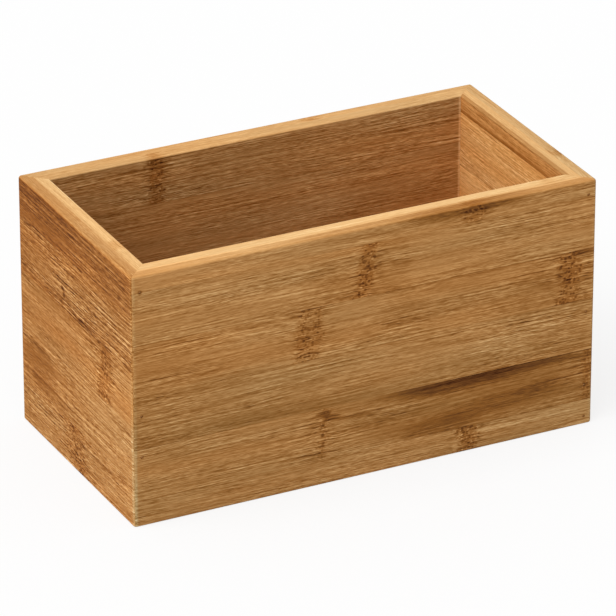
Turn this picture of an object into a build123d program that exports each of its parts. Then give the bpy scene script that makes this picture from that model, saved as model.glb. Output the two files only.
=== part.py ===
from build123d import *
import os

# An open box of laminated bamboo. The origin is the middle of its underside, +X runs along its
# length, the front wall faces -Y and +Z is up. All sizes are in millimetres.

# Outside of the box
length = 230.0
width = 120.0
height = 122.0

# A wall is two bamboo plies pressed together, and the base is one ply
outer_ply = 5.5
inner_ply = 5.5
base_thickness = 6.0
base_clearance = 0.1      # round the base panel, inside the outer plies

# A ply is bamboo strips glued edge to edge, with the grain along the wall
long_wall_strip = 25.3
end_wall_strip = 27.0
base_strip = 25.6
narrowest_strip = 4.0     # a seam this near an edge is left out, so no sliver is glued on

# Height of each ply's lowest seam above the floor
front_outer_seam = 12.6
front_inner_seam = 25.0
back_outer_seam = 10.5
back_inner_seam = 23.3
left_outer_seam = 22.0
left_inner_seam = 14.0
right_outer_seam = 19.0
right_inner_seam = 33.0

# Edges rounded by sanding, once the box is glued up
corner_radius = 1.5
rim_radius = 1.4
inner_rim_radius = 0.6
foot_radius = 1.0

# Brads
shank_radius = 0.4
head_radius = 0.6
head_thickness = 0.5
point_length = 1.2
corner_brad_length = 25.0
base_brad_length = 18.0
sunk = 0.4                # depth of a brad's head below the wood's face
brad_clearance = 0.05
drill_overshoot = 1.0     # past the wood's face

# Corner brads go through the front and back walls into the ends. The topmost is measured down from
# the rim, and the others up from the floor
brad_from_corner = 4.2
right_brad_below_rim = 7.0
right_middle_brad = 57.0
right_low_brad = 20.0
right_foot_brad = 4.0
left_brad_below_rim = 8.0
left_middle_brad = 54.0
left_low_brad = 34.0

# Base brads go up through the base panel into the inner plies
side_brads = 4
side_brad_from_end = 30.0
end_brad_spacing = 52.0

wall_thickness = outer_ply + inner_ply


# The whole outside form, with its rounded corners and edges, and the hollow inside

with BuildPart() as box_form:
    with BuildSketch() as outline:
        Rectangle(length, width)
        fillet(outline.vertices(), corner_radius)
    extrude(amount=height)
    fillet(box_form.faces().sort_by(Axis.Z)[-1].edges(), rim_radius)
    fillet(box_form.faces().sort_by(Axis.Z)[0].edges(), foot_radius)
    with BuildSketch():
        Rectangle(length - 2 * wall_thickness, width - 2 * wall_thickness)
    extrude(amount=height, mode=Mode.SUBTRACT)
    rim_face = box_form.faces().filter_by(Axis.Z).sort_by(Axis.Z)[-1]
    fillet(rim_face.inner_wires()[0].edges(), inner_rim_radius)


# A brad points along +Z with its head at the origin, and its hole is the same form, a little larger

def turned_brad(brad_length, clearance, lead):
    """A brad, or its hole when it has a clearance and a lead out to the wood's face."""
    shank = shank_radius + clearance
    head = head_radius + clearance
    under_head = head_thickness + clearance
    with BuildPart() as turned:
        with BuildSketch(Plane.XZ):
            with BuildLine():
                Polyline(
                    (0, -lead),
                    (head, -lead),
                    (head, under_head),
                    (shank, under_head),
                    (shank, brad_length - point_length),
                    (0, brad_length + clearance),
                    close=True,
                )
            make_face()
        revolve(axis=Axis.Z)
    return turned.part


def corner_brad_places(face_y, inward):
    """One plane per brad of a long wall: its head's place, with Z pointing into the wood."""
    corner_x = length / 2 - brad_from_corner
    right_heights = [height - right_brad_below_rim, right_middle_brad, right_low_brad, right_foot_brad]
    left_heights = [height - left_brad_below_rim, left_middle_brad, left_low_brad]
    spots = [(corner_x, z) for z in right_heights] + [(-corner_x, z) for z in left_heights]
    return [Plane(origin=(x, face_y + inward * sunk, z), z_dir=(0, inward, 0)) for x, z in spots]


front_brad_places = corner_brad_places(-width / 2, 1)
back_brad_places = corner_brad_places(width / 2, -1)

# The base brads stand in the middle of the inner ply
side_y = width / 2 - outer_ply - inner_ply / 2
end_x = length / 2 - outer_ply - inner_ply / 2
side_pitch = (length - 2 * side_brad_from_end) / (side_brads - 1)
side_x = [side_brad_from_end - length / 2 + side_pitch * i for i in range(side_brads)]
base_spots = [(x, y) for x in side_x for y in (-side_y, side_y)]
base_spots += [(x, y) for x in (-end_x, end_x) for y in (-end_brad_spacing / 2, end_brad_spacing / 2)]
base_brad_places = [Plane(origin=(x, y, sunk), z_dir=(0, 0, 1)) for x, y in base_spots]

corner_brad = turned_brad(corner_brad_length, 0, 0)
base_brad = turned_brad(base_brad_length, 0, 0)
corner_bore = turned_brad(corner_brad_length, brad_clearance, sunk + drill_overshoot)
base_bore = turned_brad(base_brad_length, brad_clearance, sunk + drill_overshoot)

with BuildPart() as brad_bores:
    with Locations(*front_brad_places, *back_brad_places):
        add(corner_bore)
    with Locations(*base_brad_places):
        add(base_bore)


def save(part, name):
    part.label = name
    export_step(part, f"parts/{name}.step")


# Walls

def strip_edges(foot, first_seam, strip, top):
    """Heights of the edges of a ply's strips, from its foot up."""
    edges = [foot]
    seam = first_seam
    while seam < top - narrowest_strip:
        edges.append(seam)
        seam += strip
    return edges + [top]


def wall_strip(along, span, reach, near, far, foot, top):
    """One strip of a ply, from near to far inside the wall's face, with both ends cut to the mitre."""
    with BuildPart() as strip:
        with BuildSketch(Plane(origin=(0, 0, foot), x_dir=along, z_dir=(0, 0, 1))):
            with BuildLine():
                Polyline(
                    (near - span / 2, near - reach),
                    (span / 2 - near, near - reach),
                    (span / 2 - far, far - reach),
                    (far - span / 2, far - reach),
                    close=True,
                )
            make_face()
        extrude(amount=top - foot)
        add(box_form.part, mode=Mode.INTERSECT)
        add(brad_bores.part, mode=Mode.SUBTRACT)
    return strip.part


def save_ply(name, along, span, reach, near, far, edges):
    """All the strips of one ply, numbered from the floor up."""
    for number, (foot, top) in enumerate(zip(edges, edges[1:]), start=1):
        save(wall_strip(along, span, reach, near, far, foot, top), f"{name}_strip_{number}")


def save_wall(name, along, span, reach, strip, outer_seam, inner_seam):
    """A wall board: the outer ply reaches the floor, and the inner ply stops on the base panel."""
    outer_edges = strip_edges(0, outer_seam, strip, height)
    inner_edges = strip_edges(base_thickness, inner_seam, strip, height)
    save_ply(f"{name}_outer", along, span, reach, 0, outer_ply, outer_edges)
    save_ply(f"{name}_inner", along, span, reach, outer_ply, wall_thickness, inner_edges)


os.makedirs("parts", exist_ok=True)

save_wall("front", (1, 0, 0), length, width / 2, long_wall_strip, front_outer_seam, front_inner_seam)
save_wall("back", (-1, 0, 0), length, width / 2, long_wall_strip, back_outer_seam, back_inner_seam)
save_wall("left", (0, -1, 0), width, length / 2, end_wall_strip, left_outer_seam, left_inner_seam)
save_wall("right", (0, 1, 0), width, length / 2, end_wall_strip, right_outer_seam, right_inner_seam)


# Base panel, let in between the outer plies and glued up against the inner ones

base_length = length - 2 * outer_ply - 2 * base_clearance
base_width = width - 2 * outer_ply - 2 * base_clearance


def base_edges():
    """Places across the box of the base strips' edges, with one strip in the middle of the box."""
    edges = [-base_width / 2, base_width / 2]
    seam = base_strip / 2
    while seam < base_width / 2 - narrowest_strip:
        edges += [-seam, seam]
        seam += base_strip
    return sorted(edges)


for number, (front_edge, back_edge) in enumerate(zip(base_edges(), base_edges()[1:]), start=1):
    with BuildPart() as panel_strip:
        with BuildSketch(Plane(origin=(0, front_edge, 0))):
            Rectangle(base_length, back_edge - front_edge, align=(Align.CENTER, Align.MIN))
        extrude(amount=base_thickness)
        add(brad_bores.part, mode=Mode.SUBTRACT)
    save(panel_strip.part, f"base_strip_{number}")


# Brads

with BuildPart() as front_corner_brads:
    with Locations(*front_brad_places):
        add(corner_brad)
save(front_corner_brads.part, "front_corner_brads")

with BuildPart() as back_corner_brads:
    with Locations(*back_brad_places):
        add(corner_brad)
save(back_corner_brads.part, "back_corner_brads")

with BuildPart() as base_brads:
    with Locations(*base_brad_places):
        add(base_brad)
save(base_brads.part, "base_brads")
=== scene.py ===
import math

import bmesh
import bpy
from mathutils import Color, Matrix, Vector


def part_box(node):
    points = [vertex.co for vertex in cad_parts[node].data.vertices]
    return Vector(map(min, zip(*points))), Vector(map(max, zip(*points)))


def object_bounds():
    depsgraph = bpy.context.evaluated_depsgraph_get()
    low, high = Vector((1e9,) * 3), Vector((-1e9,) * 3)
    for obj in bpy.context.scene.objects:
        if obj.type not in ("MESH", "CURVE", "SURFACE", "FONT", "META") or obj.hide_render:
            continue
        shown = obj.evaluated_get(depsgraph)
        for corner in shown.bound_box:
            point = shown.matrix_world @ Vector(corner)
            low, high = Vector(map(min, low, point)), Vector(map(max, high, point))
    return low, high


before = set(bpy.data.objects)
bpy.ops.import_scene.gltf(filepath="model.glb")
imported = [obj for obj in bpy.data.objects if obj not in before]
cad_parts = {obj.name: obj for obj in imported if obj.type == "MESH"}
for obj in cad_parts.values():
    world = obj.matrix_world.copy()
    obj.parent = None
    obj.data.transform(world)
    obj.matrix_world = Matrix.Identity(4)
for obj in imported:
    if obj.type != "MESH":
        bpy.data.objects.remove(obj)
cad_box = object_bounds()


# Front wall, outer ply. Strips of carbonised bamboo, laid flat and glued edge to edge with the grain
# along the wall. The knuckles of the culm cross some strips as ragged brown bands. The face is
# planed, sanded and oiled once the box is glued up.

class Shade:
    """A value at every point of a surface: one output of a material's nodes. Operators add Math nodes."""

    def __init__(self, tree, socket=None):
        self.tree = tree
        self.socket = socket

    def node(self, kind, settings=None, inputs=None, output=0):
        """Adds a node: its settings come first, then the values or links of its inputs."""
        settings = dict(settings or {})
        stops = settings.pop("stops", None)
        made = self.tree.nodes.new(kind)
        for name, value in settings.items():
            setattr(made, name, value)
        if stops:
            ramp = made.color_ramp
            while len(ramp.elements) < len(stops):
                ramp.elements.new(0.5)
            for element, (position, shown) in zip(ramp.elements, stops):
                element.position = position
                element.color = shown
        for name, value in (inputs or {}).items():
            if isinstance(value, Shade):
                self.tree.links.new(value.socket, made.inputs[name])
            else:
                made.inputs[name].default_value = value
        return Shade(self.tree, made.outputs[output] if made.outputs else None)

    def math(self, operation, *values):
        return self.node("ShaderNodeMath", {"operation": operation}, dict(enumerate(values)))

    def __add__(self, other):
        return self.math("ADD", self, other)

    __radd__ = __add__

    def __sub__(self, other):
        return self.math("SUBTRACT", self, other)

    def __rsub__(self, other):
        return self.math("SUBTRACT", other, self)

    def __mul__(self, other):
        return self.math("MULTIPLY", self, other)

    __rmul__ = __mul__

    def __truediv__(self, other):
        return self.math("DIVIDE", self, other)

    def __rtruediv__(self, other):
        return self.math("DIVIDE", other, self)

    def __abs__(self):
        return self.math("ABSOLUTE", self)

    def larger(self, other):
        return self.math("MAXIMUM", self, other)

    def smaller(self, other):
        return self.math("MINIMUM", self, other)

    def wave(self, length):
        """Goes smoothly from -1 to 1 and back once in each length."""
        return self.math("SINE", self * (math.tau / length))

    def step(self, low, high):
        """0 at low and 1 at high, with a soft change between them. Low may be above high."""
        if low > high:
            return 1 - self.step(high, low)
        inputs = {"Value": self, "From Min": low, "From Max": high}
        return self.node("ShaderNodeMapRange", {"interpolation_type": "SMOOTHSTEP"}, inputs)

    def noise(self, sizes, seed, octaves, fall=0.5):
        """Noise from -1 to 1 on a place in mm. Sizes are its waves' length, width and depth."""
        inputs = {0: self, 1: [1 / size for size in sizes], 2: [seed * shift for shift in seed_shift]}
        place = self.node("ShaderNodeVectorMath", {"operation": "MULTIPLY_ADD"}, inputs)
        inputs = {"Vector": place, "Scale": 1.0, "Detail": octaves - 1.0, "Roughness": fall}
        raw = self.node("ShaderNodeTexNoise", {"noise_dimensions": "3D", "normalize": True}, inputs)
        return (raw - 0.5) * 2


seed_shift = (7.31, 3.17, 5.73)       # how many waves one step of the seed moves the noise
brightest = 255                       # brightness is given as on a screen, from 0 to this
MM = 1000                             # millimetres in a metre
half_length, half_width, height = (MM * size for size in (cad_box[1].x, cad_box[1].y, cad_box[1].z))


def colour(red, green, blue):
    """A shader's colour from the 0 to 255 values that a screen shows."""
    shown = Color((red / brightest, green / brightest, blue / brightest))
    return (*shown.from_srgb_to_scene_linear(), 1.0)


def blank(owner):
    """Clears the nodes of a material or of the world, so that its own can be added."""
    owner.use_nodes = True
    owner.node_tree.nodes.clear()
    return Shade(owner.node_tree)


def place_in_mm(root):
    """The place on a piece, from the middle of the box's underside."""
    place = root.node("ShaderNodeTexCoord", output="Object")
    return root.node("ShaderNodeVectorMath", {"operation": "SCALE"}, {0: place, "Scale": MM})


def mixed(root, share, first, second, settings):
    """A mixture of two colours, which are sockets 6 and 7 of a Mix node. The mixed colour is its output 2."""
    settings = {"data_type": "RGBA", **settings}
    return root.node("ShaderNodeMix", settings, {0: share, 6: first, 7: second}, output=2)


def give(name, material):
    """Puts a material on a CAD piece, whose mesh stays as it is."""
    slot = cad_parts[name].material_slots[0]
    slot.link = "OBJECT"
    slot.material = material


# Bamboo's colour from the darkest fibre to the palest, by brightness, and the two tints that mix in it
bamboo_palette = [
    (20, colour(36, 17, 6)),
    (45, colour(75, 38, 14)),
    (72, colour(106, 64, 29)),
    (98, colour(139, 88, 37)),
    (120, colour(161, 110, 58)),
    (146, colour(187, 136, 82)),
    (190, colour(227, 181, 124)),
    (225, colour(250, 218, 168)),
]
olive_tint = (0.98, 1.01, 1.0, 1.0)
russet_tint = (1.1, 0.93, 0.68, 1.0)

# The parts of the grain. Each has its length along the fibres and its width across them in mm, a step
# of the seed, a number of octaves, and how much the finer octaves count
grain_parts = {
    "sway": (110, 22, 0, 2, 0.5),         # the fibres' slow bends
    "waver": (26, 7, 5, 2, 0.5),          # and their small ones
    "bristle": (16, 0.9, 11, 2, 0.7),     # the brush-like edge of a knuckle
    "notch": (12, 5, 13, 2, 0.5),         # and the larger bites in it
    "swirl": (11, 4, 23, 2, 0.5),         # the bends round a knuckle
    "broad": (300, 10, 31, 2, 0.6),       # broad bands of paler and darker wood
    "streak": (140, 1.2, 37, 2, 0.7),
    "thread": (50, 0.65, 41, 2, 0.7),
    "line": (110, 0.9, 47, 1, 0.5),       # thin dark lines, which come and go
    "pore": (4, 0.4, 53, 2, 0.6),
    "lined": (50, 9, 59, 2, 0.5),         # where the lines show, and where they don't
    "fleck": (1.8, 1.1, 61, 2, 0.5),      # pale flecks in a knuckle
    "drift": (120, 5, 67, 2, 0.5),        # the unevenness of the ruled lines
    "warmth": (90, 14, 71, 2, 0.5),       # olive and russet wood
}


def grain_part(kind, place, seed):
    """One part of the grain as noise from -1 to 1."""
    length, width, seed_step, octaves, fall = grain_parts[kind]
    return place.noise((length, width, width), seed + seed_step, octaves, fall)


# In what follows, a "change" is in brightness, a "reach" is in mm, and an "edge" is the pair of values
# at which a mark starts and at which it is full

bristle_share = 1.1
knuckle_ragged = 0.8           # how ragged a knuckle is, in half widths
knuckle_swell = 2.2            # how far out the fibres swell round it, in half widths
knuckle_edge = (1.25, 0.35)    # in half widths from its middle


def knuckle_bands(plain, along, rise, seed, knuckles):
    """How much of a knuckle shows at each point, with brush-like edges, and the fibres' swell round it."""
    knot = 0.0
    swell = 0.0
    ragged = grain_part("bristle", plain, seed) * bristle_share + grain_part("notch", plain, seed)
    for centre, half, lean, strength in knuckles:
        off = along - centre - rise * lean
        band = (abs(off + ragged * (half * knuckle_ragged)) / half).step(*knuckle_edge) * strength
        knot = band if knot == 0.0 else knot.larger(band)
        away = off / (half * knuckle_swell)
        near = 1 / (1 + away * away)
        swell = swell + near * near * strength
    return knot, swell


knuckle_change = 14
knuckle_grain = 0.4            # share of the grain's contrast that a knuckle takes away
swell_change = 3
fringe_change = 18             # dark threads that run out of a knuckle
fringe_edge = (0.05, -0.25)
dot_cell = (0.54, 0.6, 0.65)   # the dark ends of fibres lie in cells, and this is how many to the mm
dot_edge = (0.5, 0.28)
dot_from_knot = (0.0, 0.9)
dot_change = 33
fleck_edge = (0.12, 0.5)
fleck_change = 42


def knuckled(light, plain, thread, grain_light, seed, knot, swell):
    """The wood's brightness with its knuckles, which have dark dots and pale flecks in them."""
    cell = plain.node("ShaderNodeVectorMath", {"operation": "MULTIPLY"}, {0: plain, 1: dot_cell})
    dot = plain.node("ShaderNodeTexVoronoi", {}, {"Vector": cell, "Scale": 1.0}).step(*dot_edge)
    fleck = grain_part("fleck", plain, seed).step(*fleck_edge)
    fringe = thread.step(*fringe_edge) * swell
    darker = knot * (knuckle_change + grain_light * knuckle_grain)
    light = light - darker - swell * swell_change - fringe * fringe_change
    return light - dot * knot.step(*dot_from_knot) * dot_change + fleck * knot * fleck_change


def oval(right, up, full=0.0):
    """0 outside an oval and 1 in its middle, for places in half lengths and half heights from there."""
    return (right * right + up * up).step(1.0, full)


brad_mark = 1.1                # radius of the darker wood round a brad, in mm
brad_mark_full = 0.3
brad_mark_change = 14
stain_sway = 0.1               # how far the fibres' bends pull a stain out of shape
stain_dulls = 0.006            # share of the grain's contrast that each step of a stain's depth takes away


def stained(light, tone, along, across, bend, stains):
    """The wood's brightness with its stains: soft dark or pale areas, which may lean and dull the grain."""
    for centre, level, long, tall, lean, depth in stains:
        right = (along - centre) / long
        up = (across - level - (along - centre) * lean) / tall + bend * stain_sway
        stain = oval(right, up)
        light = light - stain * depth - (light - tone) * stain * (abs(depth) * stain_dulls)
    return light


glue_line_edge = (0.35, 0.05)  # in mm from the joint
glue_line_change = 6
glue_line_grain = 16           # more of it where the lines of the grain show
mitre_edge = (0.4, 0.05)       # in mm from the joint
mitre_change = 14

# An upright corner is paler, partly wood sanded through and partly a painted highlight
# of the lit corner, most of it low down at the left end
wear_and_highlight_edge = (2.3, 1.2)
wear_and_highlight_low_edge = (75, 15)
wear_and_highlight_left_edge = (40, -40)
wear_and_highlight_elsewhere = 0.3
wear_and_highlight_change = 18
wear_and_highlight_warmth = 0.8

# At the rim the face turns into the sawn edge, which shows the side of the fibres
sawn_edge = (1.0, 0.2)         # in mm below the rim
sawn_share = 0.85
rim_grain = 0.45
rim_knot_change = 16
rim_band_edge = (1.25, 0.75)


def sawn_rim(rim, along, face, grain_light, knot, rim_bands, rim_marks):
    """The brightness of the sawn edge at the rim."""
    light = rim + grain_light * rim_grain - knot * rim_knot_change
    for near, far, change in rim_bands:
        off = (face - (near + far) / 2) / ((far - near) / 2)
        light = light + abs(off).step(*rim_band_edge) * change
    for centre, half, change in rim_marks:
        away = (along - centre) / half
        light = light + (away * away).step(1.0, 0.0) * change
    return light


# How far the parts of the grain bend the fibres, and how far they change the brightness
sway_reach = 2.2
waver_reach = 0.5
swirl_reach = 1.6
drift_reach = 1.5
broad_change = 8
streak_change = 17
thread_change = 42
pore_change = 46
line_edge = (0.2, 0.0)
line_middle = 0.3
line_change = 22
ruled_pitch = 2.1              # mm from one ruled line to the next
ruled_change = 9
lined_swell = 0.3
lined_edge = (0.2, 0.75)
fine_share = 0.55              # strength of threads and pores where no line shows
fine_lined = 0.85              # and what is added where the lines show

# The tint, from 0 for olive to 1 for russet, and the finish
warmth_middle = 0.1
warmth_change = 0.6
knuckle_warmth = 0.25
oiled_roughness = 0.62
dark_roughness = 0.002         # more for each step that the wood is darker
light_relief = 0.02            # paler wood stands higher
pore_relief = 0.5
relief_strength = 0.4
relief_depth = 0.0001          # m
oiled_gloss = 0.05
oiled_index = 1.45


def bamboo(
    name, grain, tone, seed, knuckles=(), stains=(), brads=(),
    contrast=1.0, slope=0.0, russet=0.0, ruled=0.5,
    rim=None, rim_bands=(), rim_marks=(), rim_russet=0.0,
):
    """Bamboo for one strip. Its places are in mm along and across it.

    grain: "x" or "y" for a wall along that axis, or "base".
    tone: brightness in the middle of the box. slope: its change in each mm along the strip.
    contrast, ruled: strength of the grain and of its ruled lines. russet: above 0 for redder wood.
    knuckles: centre, half width, lean and strength of each.
    stains: centre, level, half length, half height, lean and depth of each, a depth below 0 being paler.
    brads: centre and level of each.
    rim: brightness of the sawn edge at the rim, and rim_russet its redness.
    rim_bands: near side and far side from the wall's outer face, and change, of each.
    rim_marks: centre, half length and change of each.
    """
    low, high = (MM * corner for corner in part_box(name))
    in_wall = grain != "base"
    material = bpy.data.materials.new(name + "_bamboo")
    root = blank(material)

    # Place on the piece: along the grain, across the strip's face, and in from that face
    spot = place_in_mm(root)
    x, y, z = (root.node("ShaderNodeSeparateXYZ", {}, {0: spot}, output=axis) for axis in "XYZ")
    along, across, deep = {"x": (x, z, y), "y": (y, z, x), "base": (x, y, z)}[grain]
    foot, top = (low.z, high.z) if in_wall else (low.y, high.y)
    plain = root.node("ShaderNodeCombineXYZ", {}, {0: along, 1: across, 2: deep})

    # The fibres bend slowly, and more round the knuckles
    bend = grain_part("sway", plain, seed) * sway_reach + grain_part("waver", plain, seed) * waver_reach
    knot, swell = 0.0, 0.0
    if knuckles:
        knot, swell = knuckle_bands(plain, along, across - (foot + top) / 2, seed, knuckles)
        bend = bend + swell * grain_part("swirl", plain, seed) * swirl_reach
    fibre = root.node("ShaderNodeCombineXYZ", {}, {0: along, 1: across + bend, 2: deep + bend})

    # Fibres: broad bands, streaks, threads, fine pores, and dark lines, both loose and ruled
    broad, streak, thread, line, pore = (
        grain_part(kind, fibre, seed) for kind in ("broad", "streak", "thread", "line", "pore")
    )
    lined = (grain_part("lined", plain, seed) * 0.5 + 0.5 + swell * lined_swell).step(*lined_edge)
    line = (abs(line).step(*line_edge) - line_middle) * lined
    row = (across + bend + grain_part("drift", plain, seed) * drift_reach).wave(ruled_pitch)
    fine = (thread * thread_change + pore * pore_change) * (lined * fine_lined + fine_share)
    lines = fine - line * line_change + row * lined * (ruled * ruled_change)
    grain_light = streak * streak_change + contrast * lines
    light = tone + along * slope + broad * broad_change + grain_light

    if knuckles:
        light = knuckled(light, plain, thread, grain_light, seed, knot, swell)

    # Wood darkened round the brads, and stains
    for centre, level in brads:
        if foot - brad_mark < level < top + brad_mark:
            mark = oval((along - centre) / brad_mark, (across - level) / brad_mark, brad_mark_full)
            light = light - mark * brad_mark_change
    light = stained(light, tone, along, across, bend, stains)

    # Glue lines at the strip's two edges, the mitre line at its ends, and the box's upright corners
    joint = (across - foot).smaller(top - across)
    light = light - joint.step(*glue_line_edge) * (glue_line_change + lined * glue_line_grain)
    if in_wall:
        face = half_width - abs(y) if grain == "x" else half_length - abs(x)
        end = half_length - abs(x) if grain == "x" else half_width - abs(y)
        light = light - (end - face).step(*mitre_edge) * mitre_change
        # Paler upright corners: sanded wood, and a painted highlight where the lamp catches them
        wear_and_highlight_most = z.step(*wear_and_highlight_low_edge) * x.step(*wear_and_highlight_left_edge)
        wear_and_highlight = (end + face).step(*wear_and_highlight_edge) * (wear_and_highlight_most * (1 - wear_and_highlight_elsewhere) + wear_and_highlight_elsewhere)
        light = light + wear_and_highlight * wear_and_highlight_change

    # The topmost strip's sawn edge
    sawn = 0.0
    if rim is not None:
        sawn = z.step(*(height - below for below in sawn_edge))
        rim_light = sawn_rim(rim, along, face, grain_light, knot, rim_bands, rim_marks)
        light = light + sawn * (rim_light - light) * sawn_share

    # Colour, from the brightness and a tint
    stops = [(bright / brightest, shown) for bright, shown in bamboo_palette]
    ramp = root.node("ShaderNodeValToRGB", {"stops": stops}, {0: light / brightest})
    warmth = grain_part("warmth", plain, seed) * warmth_change + warmth_middle
    warmth = warmth + russet * (1 - sawn) + rim_russet * sawn
    if knuckles:
        warmth = warmth + knot * knuckle_warmth
    # The paler corners, sanded and with a painted highlight, are also less russet
    if in_wall:
        warmth = warmth - wear_and_highlight * wear_and_highlight_warmth
    tint = mixed(root, warmth, olive_tint, russet_tint, {"clamp_factor": False})
    tinted = mixed(root, 1.0, ramp, tint, {"blend_type": "MULTIPLY"})

    # An oiled face, duller in the dark wood, with shallow pores
    roughness = oiled_roughness + (tone - light) * dark_roughness
    relief = light * light_relief + pore * pore_relief
    bump = root.node(
        "ShaderNodeBump", {}, {"Strength": relief_strength, "Distance": relief_depth, "Height": relief}
    )
    shader = root.node("ShaderNodeBsdfPrincipled", {}, {
        "Base Color": tinted,
        "Roughness": roughness,
        "Normal": bump,
        "Specular IOR Level": oiled_gloss,
        "IOR": oiled_index,
    })
    root.node("ShaderNodeOutputMaterial", {}, {"Surface": shader})
    give(name, material)


brads = [(110.8, 115), (110.8, 57), (110.8, 20), (110.8, 4), (-110.8, 114), (-110.8, 54), (-110.8, 34)]
left_brad_stain = (-110.8, 114, 1.5, 1.5, 0, 26)

bamboo(
    "front_outer_strip_1", "x", 130, 1, brads=brads, slope=0.02, russet=-0.35, knuckles=[(51, 4.4, 0, 1.2)],
)
bamboo(
    "front_outer_strip_2", "x", 129, 2, brads=brads, russet=-0.15, ruled=0.8,
    knuckles=[(-22, 3.2, 0.1, 0.5), (-24, 6, 0, 0.2), (112, 3, 0, 0.6)],
    stains=[
        # A dark wedge under the seam, which fades out to the left and downwards
        (52.5, 38.4, 61, 8.5, 0, 66),
        (64, 24, 85, 20, 0, 19),
        (74, 21.5, 38, 6, 0.04, 22),
        (37, 15, 25, 8, 0, 21),
        # The cracked top of the first knuckle
        (-6, 30.4, 18, 1.4, -0.08, 28),
        (-18.5, 32.8, 6, 2.2, -0.05, 40),
        (-22, 35.2, 4.6, 2.2, 0, 40),
        # Shade on both sides of the wedge
        (104, 37, 26, 5, 0, 30),
        (88, 25, 14, 4, 0.1, 14),
        (47, 19, 14, 7, 0, 9),
        (-6, 35.5, 15, 4, 0, 9),
        # Dark specks down the first knuckle, and shade beside it
        (-22, 29.5, 1.3, 0.9, 0, 30),
        (-22.5, 24.6, 1.2, 1, 0, 40),
        (-22.4, 19.5, 1.4, 1, 0, 26),
        (0, 27, 16, 9, 0, 8),
    ],
)
bamboo(
    "front_outer_strip_3", "x", 126, 3, brads=brads, contrast=1.15, ruled=1.0, slope=0.02, russet=-0.2,
    stains=[
        # Shade along the lower seam, a pale band above it, and the dark left end
        (-60, 38, 110, 9, 0, 15),
        (104, 38, 50, 8, 0, 13),
        (5, 58, 95, 9, 0, -9),
        (-114, 52, 9, 15, 0, 9),
    ],
)
bamboo(
    "front_outer_strip_4", "x", 126, 4, brads=brads, russet=-0.05,
    knuckles=[(-32.5, 4, 0.1, 0.7), (-26, 4, 0.1, 0.7), (102, 6, 0.06, 0.9)],
    stains=[
        # A pale field round the left knuckle, with shade to its right
        (-32, 75, 60, 30, 0, -7),
        (17, 77, 17, 7, 0, 10),
        (85, 78, 16, 8, 0, 11),
        (54, 67, 28, 6, 0, -9),
        # The dark top of the right knuckle, along the seam
        (110, 87.6, 9, 3.4, 0, 26),
        (96, 88.3, 20, 0.8, 0, 14),
        (0, 67, 9, 5, 0, 11),
    ],
)
bamboo(
    "front_outer_strip_5", "x", 131, 5, brads=brads, knuckles=[(-1, 4.6, 0.16, 1)],
    stains=[(10, 102, 17, 16, 0, 13), (-16, 100, 16, 14, 0, 7), left_brad_stain],
)
bamboo(
    "front_outer_strip_6", "x", 133, 6, brads=brads, slope=-0.03, knuckles=[(53, 6, 0, 0.8)],
    stains=[(48, 122, 42, 5.5, 0, 49), (-80, 118, 42, 8, 0, -7), left_brad_stain],
    rim=154, rim_bands=[(4.3, 6.8, 37)], rim_marks=[(48, 40, -17), (-75, 55, 11)], rim_russet=0.3,
)


# Front wall, inner ply. Paler strips of the same bamboo, glued to the back of the outer ply with
# their seams out of line with its seams. They stop on the base panel.

bamboo("front_inner_strip_1", "x", 142, 11)
bamboo("front_inner_strip_2", "x", 150, 12, knuckles=[(72, 5, 0.08, 0.9)])
bamboo("front_inner_strip_3", "x", 139, 13, stains=[(-60, 70, 50, 6, 0.03, 14)])
bamboo("front_inner_strip_4", "x", 147, 14, knuckles=[(-34, 4.5, -0.1, 1)])
bamboo(
    "front_inner_strip_5", "x", 143, 15, knuckles=[(95, 5, 0, 0.7)],
    rim=196, rim_bands=[(4.6, 6.4, -5)], rim_russet=0.15,
)


# Back wall, outer and inner plies. The same two-ply board as the front wall. Glue squeezed out of
# the corner joint leaves a pale line down the inside, where it meets the right end.

bamboo("back_outer_strip_1", "x", 127, 21, brads=brads)
bamboo("back_outer_strip_2", "x", 133, 22, knuckles=[(66, 5, 0.08, 0.9)], brads=brads, russet=0.2)
bamboo("back_outer_strip_3", "x", 125, 23, stains=[(-50, 44, 70, 6, 0, 24)], brads=brads)
bamboo("back_outer_strip_4", "x", 131, 24, knuckles=[(-18, 4.5, -0.12, 1)], brads=brads)
bamboo("back_outer_strip_5", "x", 129, 25, knuckles=[(-104, 5, 0.05, 0.8)], brads=brads, russet=0.2)
bamboo("back_outer_strip_6", "x", 132, 26, knuckles=[(30, 5, 0, 0.9)], brads=brads, rim=168)

glue_in_corner = (105, 60, 2.6, 400, 0, -72)
dull_patch = (75, 73, 46, 17, 0, 11)
# Their slope paints shade: these strips darken towards the left end, where the left wall shades the inside of
# the back wall
bamboo("back_inner_strip_1", "x", 140, 31, contrast=0.9, slope=0.05, stains=[glue_in_corner])
bamboo("back_inner_strip_2", "x", 142, 32, contrast=0.9, slope=0.05, stains=[glue_in_corner], russet=0.1)
bamboo("back_inner_strip_3", "x", 141, 33, contrast=0.9, slope=0.05, stains=[glue_in_corner, dull_patch])
bamboo("back_inner_strip_4", "x", 142, 34, contrast=1.05, slope=0.05, stains=[glue_in_corner, dull_patch])
bamboo(
    "back_inner_strip_5", "x", 140, 35, contrast=1.3, slope=0.05, knuckles=[(-51, 4, 0, 1.2)],
    stains=[glue_in_corner, (-51, 119, 8, 4, 0, 16), (-41, 116, 9, 6, 0, -17)], rim=168,
)


# Left end, outer and inner plies. A shorter board, mitred and glued between the long walls and held
# by their brads. Its strips run level round the box, and are warmer and more streaked than theirs.

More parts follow.
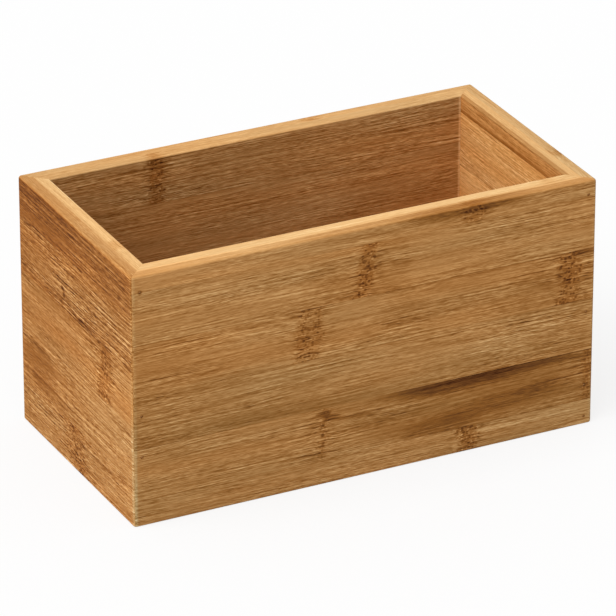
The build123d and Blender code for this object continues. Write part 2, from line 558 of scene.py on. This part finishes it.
bamboo(
    "left_outer_strip_1", "y", 129.5, 41, contrast=1.4, slope=-0.1, russet=0.3, ruled=0.8,
    knuckles=[(1, 8.5, 0.3, 0.8), (-5, 4, 0, 0.45)],
)
bamboo(
    "left_outer_strip_2", "y", 131, 42, contrast=1.35, slope=-0.14, russet=0.38,
    stains=[(40, 36, 24, 14, 0, 24), (20, 26, 34, 6, 0, 13), (-22, 41, 30, 6, 0, -12)],
)
bamboo(
    "left_outer_strip_3", "y", 135, 43, contrast=1.25, slope=-0.11, russet=0.45, ruled=0.6,
    knuckles=[(-30.5, 7.4, -0.1, 1.05)],
    stains=[(42, 62, 34, 22, 0, 5), (0, 76, 90, 7, 0, 15)],
)
bamboo(
    "left_outer_strip_4", "y", 118, 44, contrast=1.95, slope=-0.06, russet=0.6, ruled=1.4,
    stains=[(13, 86, 2.2, 1.5, 0, 50), (11.5, 83.5, 1.7, 2.6, 0, 46), (-10, 76.5, 70, 2.6, 0, 13)],
)
bamboo(
    "left_outer_strip_5", "y", 105, 45, contrast=1.2, slope=-0.08, russet=0.85, ruled=1.2,
    stains=[(33, 116, 44, 14, 0, 13)], rim=155, rim_bands=[(4.2, 6.4, 10)], rim_russet=0.3,
)
bamboo("left_inner_strip_1", "y", 150, 51)
bamboo("left_inner_strip_2", "y", 143, 52, knuckles=[(20, 5, 0.1, 0.9)])
bamboo("left_inner_strip_3", "y", 147, 53)
bamboo("left_inner_strip_4", "y", 140, 54, stains=[(-20, 78, 30, 5, 0, 14)])
bamboo(
    "left_inner_strip_5", "y", 148, 55, knuckles=[(-28, 5, 0, 0.8)],
    rim=190, rim_bands=[(4.6, 6.8, -14)], rim_russet=0.15,
)


# Right end, outer and inner plies. Made as the left end is. Inside, one strip stands out darker under
# the rim, and a dark glue line runs below it. The inner strips under it are painted much paler than the
# other walls' inner plies: painted light, for the lamp's light on this inside face.

bamboo("right_outer_strip_1", "y", 131, 61)
bamboo("right_outer_strip_2", "y", 126, 62, knuckles=[(-12, 5, 0.1, 1)], russet=0.2)
bamboo("right_outer_strip_3", "y", 134, 63, stains=[(-30, 60, 40, 6, 0, 16)])
bamboo("right_outer_strip_4", "y", 129, 64, knuckles=[(34, 5, -0.1, 0.9)])
bamboo(
    "right_outer_strip_5", "y", 133, 65, russet=0.2, knuckles=[(-26, 3.5, 0, 1)],
    rim=164, rim_bands=[(3.4, 7, 8)], rim_russet=-0.5,
)
# Painted light: these strips are paler than the other inner plies, for the light that falls on this face
bamboo("right_inner_strip_1", "y", 180, 71, contrast=0.9, russet=0.85)
bamboo("right_inner_strip_2", "y", 184, 72, contrast=0.9, russet=0.85)
bamboo("right_inner_strip_3", "y", 186, 73, contrast=0.9, russet=0.85)
bamboo("right_inner_strip_4", "y", 179, 74, contrast=1.1, russet=0.85, stains=[(0, 87, 90, 2, 0, 14)])
bamboo(
    "right_inner_strip_5", "y", 153, 75, contrast=0.9, russet=1.0, stains=[(0, 113.6, 90, 3, 0, 40)],
    rim=178, rim_bands=[(9.0, 12.4, -40)], rim_russet=0.15,
)


# Base panel. One ply of bamboo strips, let in between the outer plies, glued up against the inner
# plies and bradded from below.

bamboo("base_strip_1", "base", 138, 81)
bamboo("base_strip_2", "base", 145, 82, knuckles=[(-62, 5, 0.1, 1)])
bamboo("base_strip_3", "base", 136, 83, stains=[(40, 4, 60, 5, 0, 16)])
bamboo("base_strip_4", "base", 142, 84, knuckles=[(28, 4.5, -0.1, 1)])
bamboo("base_strip_5", "base", 139, 85, knuckles=[(-30, 5, 0, 0.7)])


# Brads. Steel wire nails with small heads, driven through the long walls into the ends and up through
# the base. They sit a little below the face, dulled and browned by wood dust and oil.

smut_size = 0.8                        # mm
dusty_brown = colour(146, 96, 50)
rubbed_brown = colour(182, 130, 78)

steel = bpy.data.materials.new("brad_steel")
root = blank(steel)
smut = place_in_mm(root).noise((smut_size, smut_size, smut_size), 3, 3, 0.6)
stops = [(0.3, dusty_brown), (0.75, rubbed_brown)]
ramp = root.node("ShaderNodeValToRGB", {"stops": stops}, {0: smut * 0.5 + 0.5})
shader = root.node(
    "ShaderNodeBsdfPrincipled",
    {},
    {"Base Color": ramp, "Roughness": 0.5 - smut * 0.15, "Metallic": 0.3, "Specular IOR Level": 0.1},
)
root.node("ShaderNodeOutputMaterial", {}, {"Surface": shader})
for name in ("front_corner_brads", "back_corner_brads", "base_brads"):
    give(name, steel)


# Floor and background. A sheet of white paper under a white room, which still takes the shadow of
# the box.

floor_size = 12.0                      # m
floor_form = bmesh.new()
bmesh.ops.create_grid(floor_form, x_segments=1, y_segments=1, size=floor_size / 2)
floor_mesh = bpy.data.meshes.new("floor")
floor_form.to_mesh(floor_mesh)
floor_form.free()
floor = bpy.data.objects.new("floor", floor_mesh)
bpy.context.scene.collection.objects.link(floor)


def seen_directly(root):
    """1 on the rays that show a background, plainly, in gloss or through glass. 0 on those that light."""
    rays = ("Is Camera Ray", "Is Glossy Ray", "Is Transmission Ray")
    plain, glossy, through = (root.node("ShaderNodeLightPath", output=ray) for ray in rays)
    return plain.larger(glossy).larger(through)


pure_white = (1.0, 1.0, 1.0, 1.0)
paper_white = (0.8, 0.8, 0.8, 1.0)
paper_glow = 0.8                       # share of the paper that shows no shadow
paper = bpy.data.materials.new("floor_paper")
root = blank(paper)
lit = root.node("ShaderNodeBsdfDiffuse", {}, {"Color": paper_white})
white = root.node("ShaderNodeEmission", {}, {"Color": pure_white, "Strength": 1.0})
shader = root.node("ShaderNodeMixShader", {}, {0: seen_directly(root) * paper_glow, 1: lit, 2: white})
root.node("ShaderNodeOutputMaterial", {}, {"Surface": shader})
floor_mesh.materials.append(paper)


# Light. A white room gives most of it, and one wide soft lamp high above the left end makes that end
# paler than the front wall.

room_level = 0.62
world = bpy.data.worlds.new("studio")
bpy.context.scene.world = world
root = blank(world)
level = room_level + seen_directly(root) * (1 - room_level)
shader = root.node("ShaderNodeBackground", {}, {"Color": pure_white, "Strength": level})
root.node("ShaderNodeOutputWorld", {}, {"Surface": shader})


def direction(azimuth, elevation):
    """From the box, at an azimuth from straight in front of it and an elevation, both in radians."""
    return Vector((
        math.sin(azimuth) * math.cos(elevation),
        -math.cos(azimuth) * math.cos(elevation),
        math.sin(elevation),
    ))


lamp_azimuth = math.radians(-72)
lamp_elevation = math.radians(58)
lamp_level = 0.7
lamp_width = math.radians(50)
lamp = bpy.data.lights.new("key", "SUN")
lamp.energy = lamp_level * math.pi
lamp.angle = lamp_width
key = bpy.data.objects.new("key", lamp)
bpy.context.scene.collection.objects.link(key)
key.rotation_mode = "QUATERNION"
key.rotation_quaternion = direction(lamp_azimuth, lamp_elevation).to_track_quat("Z", "Y")


# Camera. A long lens at the photograph's place, above the box and to the left of its front wall.
# Its aim is a little off the middle of the box, as in the photograph.

image_size = 616                       # pixels
focal_pixels = 5622
camera_azimuth = math.radians(-26.62)
camera_elevation = math.radians(25.79)
camera_distance = 2.54197              # m, as are the next two
aim_right = 0.00039
aim_up = -0.00376
eye = bpy.data.cameras.new("camera")
eye.sensor_width = 36.0
eye.lens = focal_pixels * eye.sensor_width / image_size
eye.clip_end = 100.0
camera = bpy.data.objects.new("camera", eye)
bpy.context.scene.collection.objects.link(camera)
back = direction(camera_azimuth, camera_elevation)
right = Vector((math.cos(camera_azimuth), math.sin(camera_azimuth), 0.0))
up = back.cross(right)
aim = Vector((0.0, 0.0, height / MM / 2)) + right * aim_right + up * aim_up
camera.location = aim + back * camera_distance
camera.rotation_mode = "QUATERNION"
camera.rotation_quaternion = back.to_track_quat("Z", "Y")
bpy.context.scene.camera = camera
bpy.context.scene.view_settings.view_transform = "Standard"
